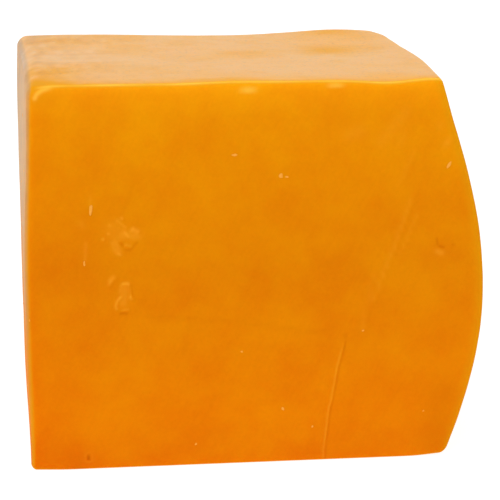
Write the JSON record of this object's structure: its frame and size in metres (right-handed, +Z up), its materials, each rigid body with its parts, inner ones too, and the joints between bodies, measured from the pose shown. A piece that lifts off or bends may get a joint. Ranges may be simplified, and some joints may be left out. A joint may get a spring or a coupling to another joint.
{
  "type": "mimolette cheese hunk",
  "caption": "Hunk cut from a ball of mimolette cheese: a near-square block of bright orange paste with flat wire-cut sides and one side that swells out like the ball",
  "frame": {"origin": "centre of the hunk's footprint, on the surface that it stands on, midway between its outermost points in X and in Y", "axes": "X runs along the broad cut face, which looks to -Y, with the swelling side of the ball at +X; Y is the depth; Z is up"},
  "size_m": [0.116, 0.079, 0.0945],
  "materials": {
    "paste": "bright orange cheese paste, close and even, with the faint waxy sheen of a wire cut and a slightly drier, paler skin on top"
  },
  "bodies": {
    "root": {"mimolette": "paste"}
  },
  "joints": []
}
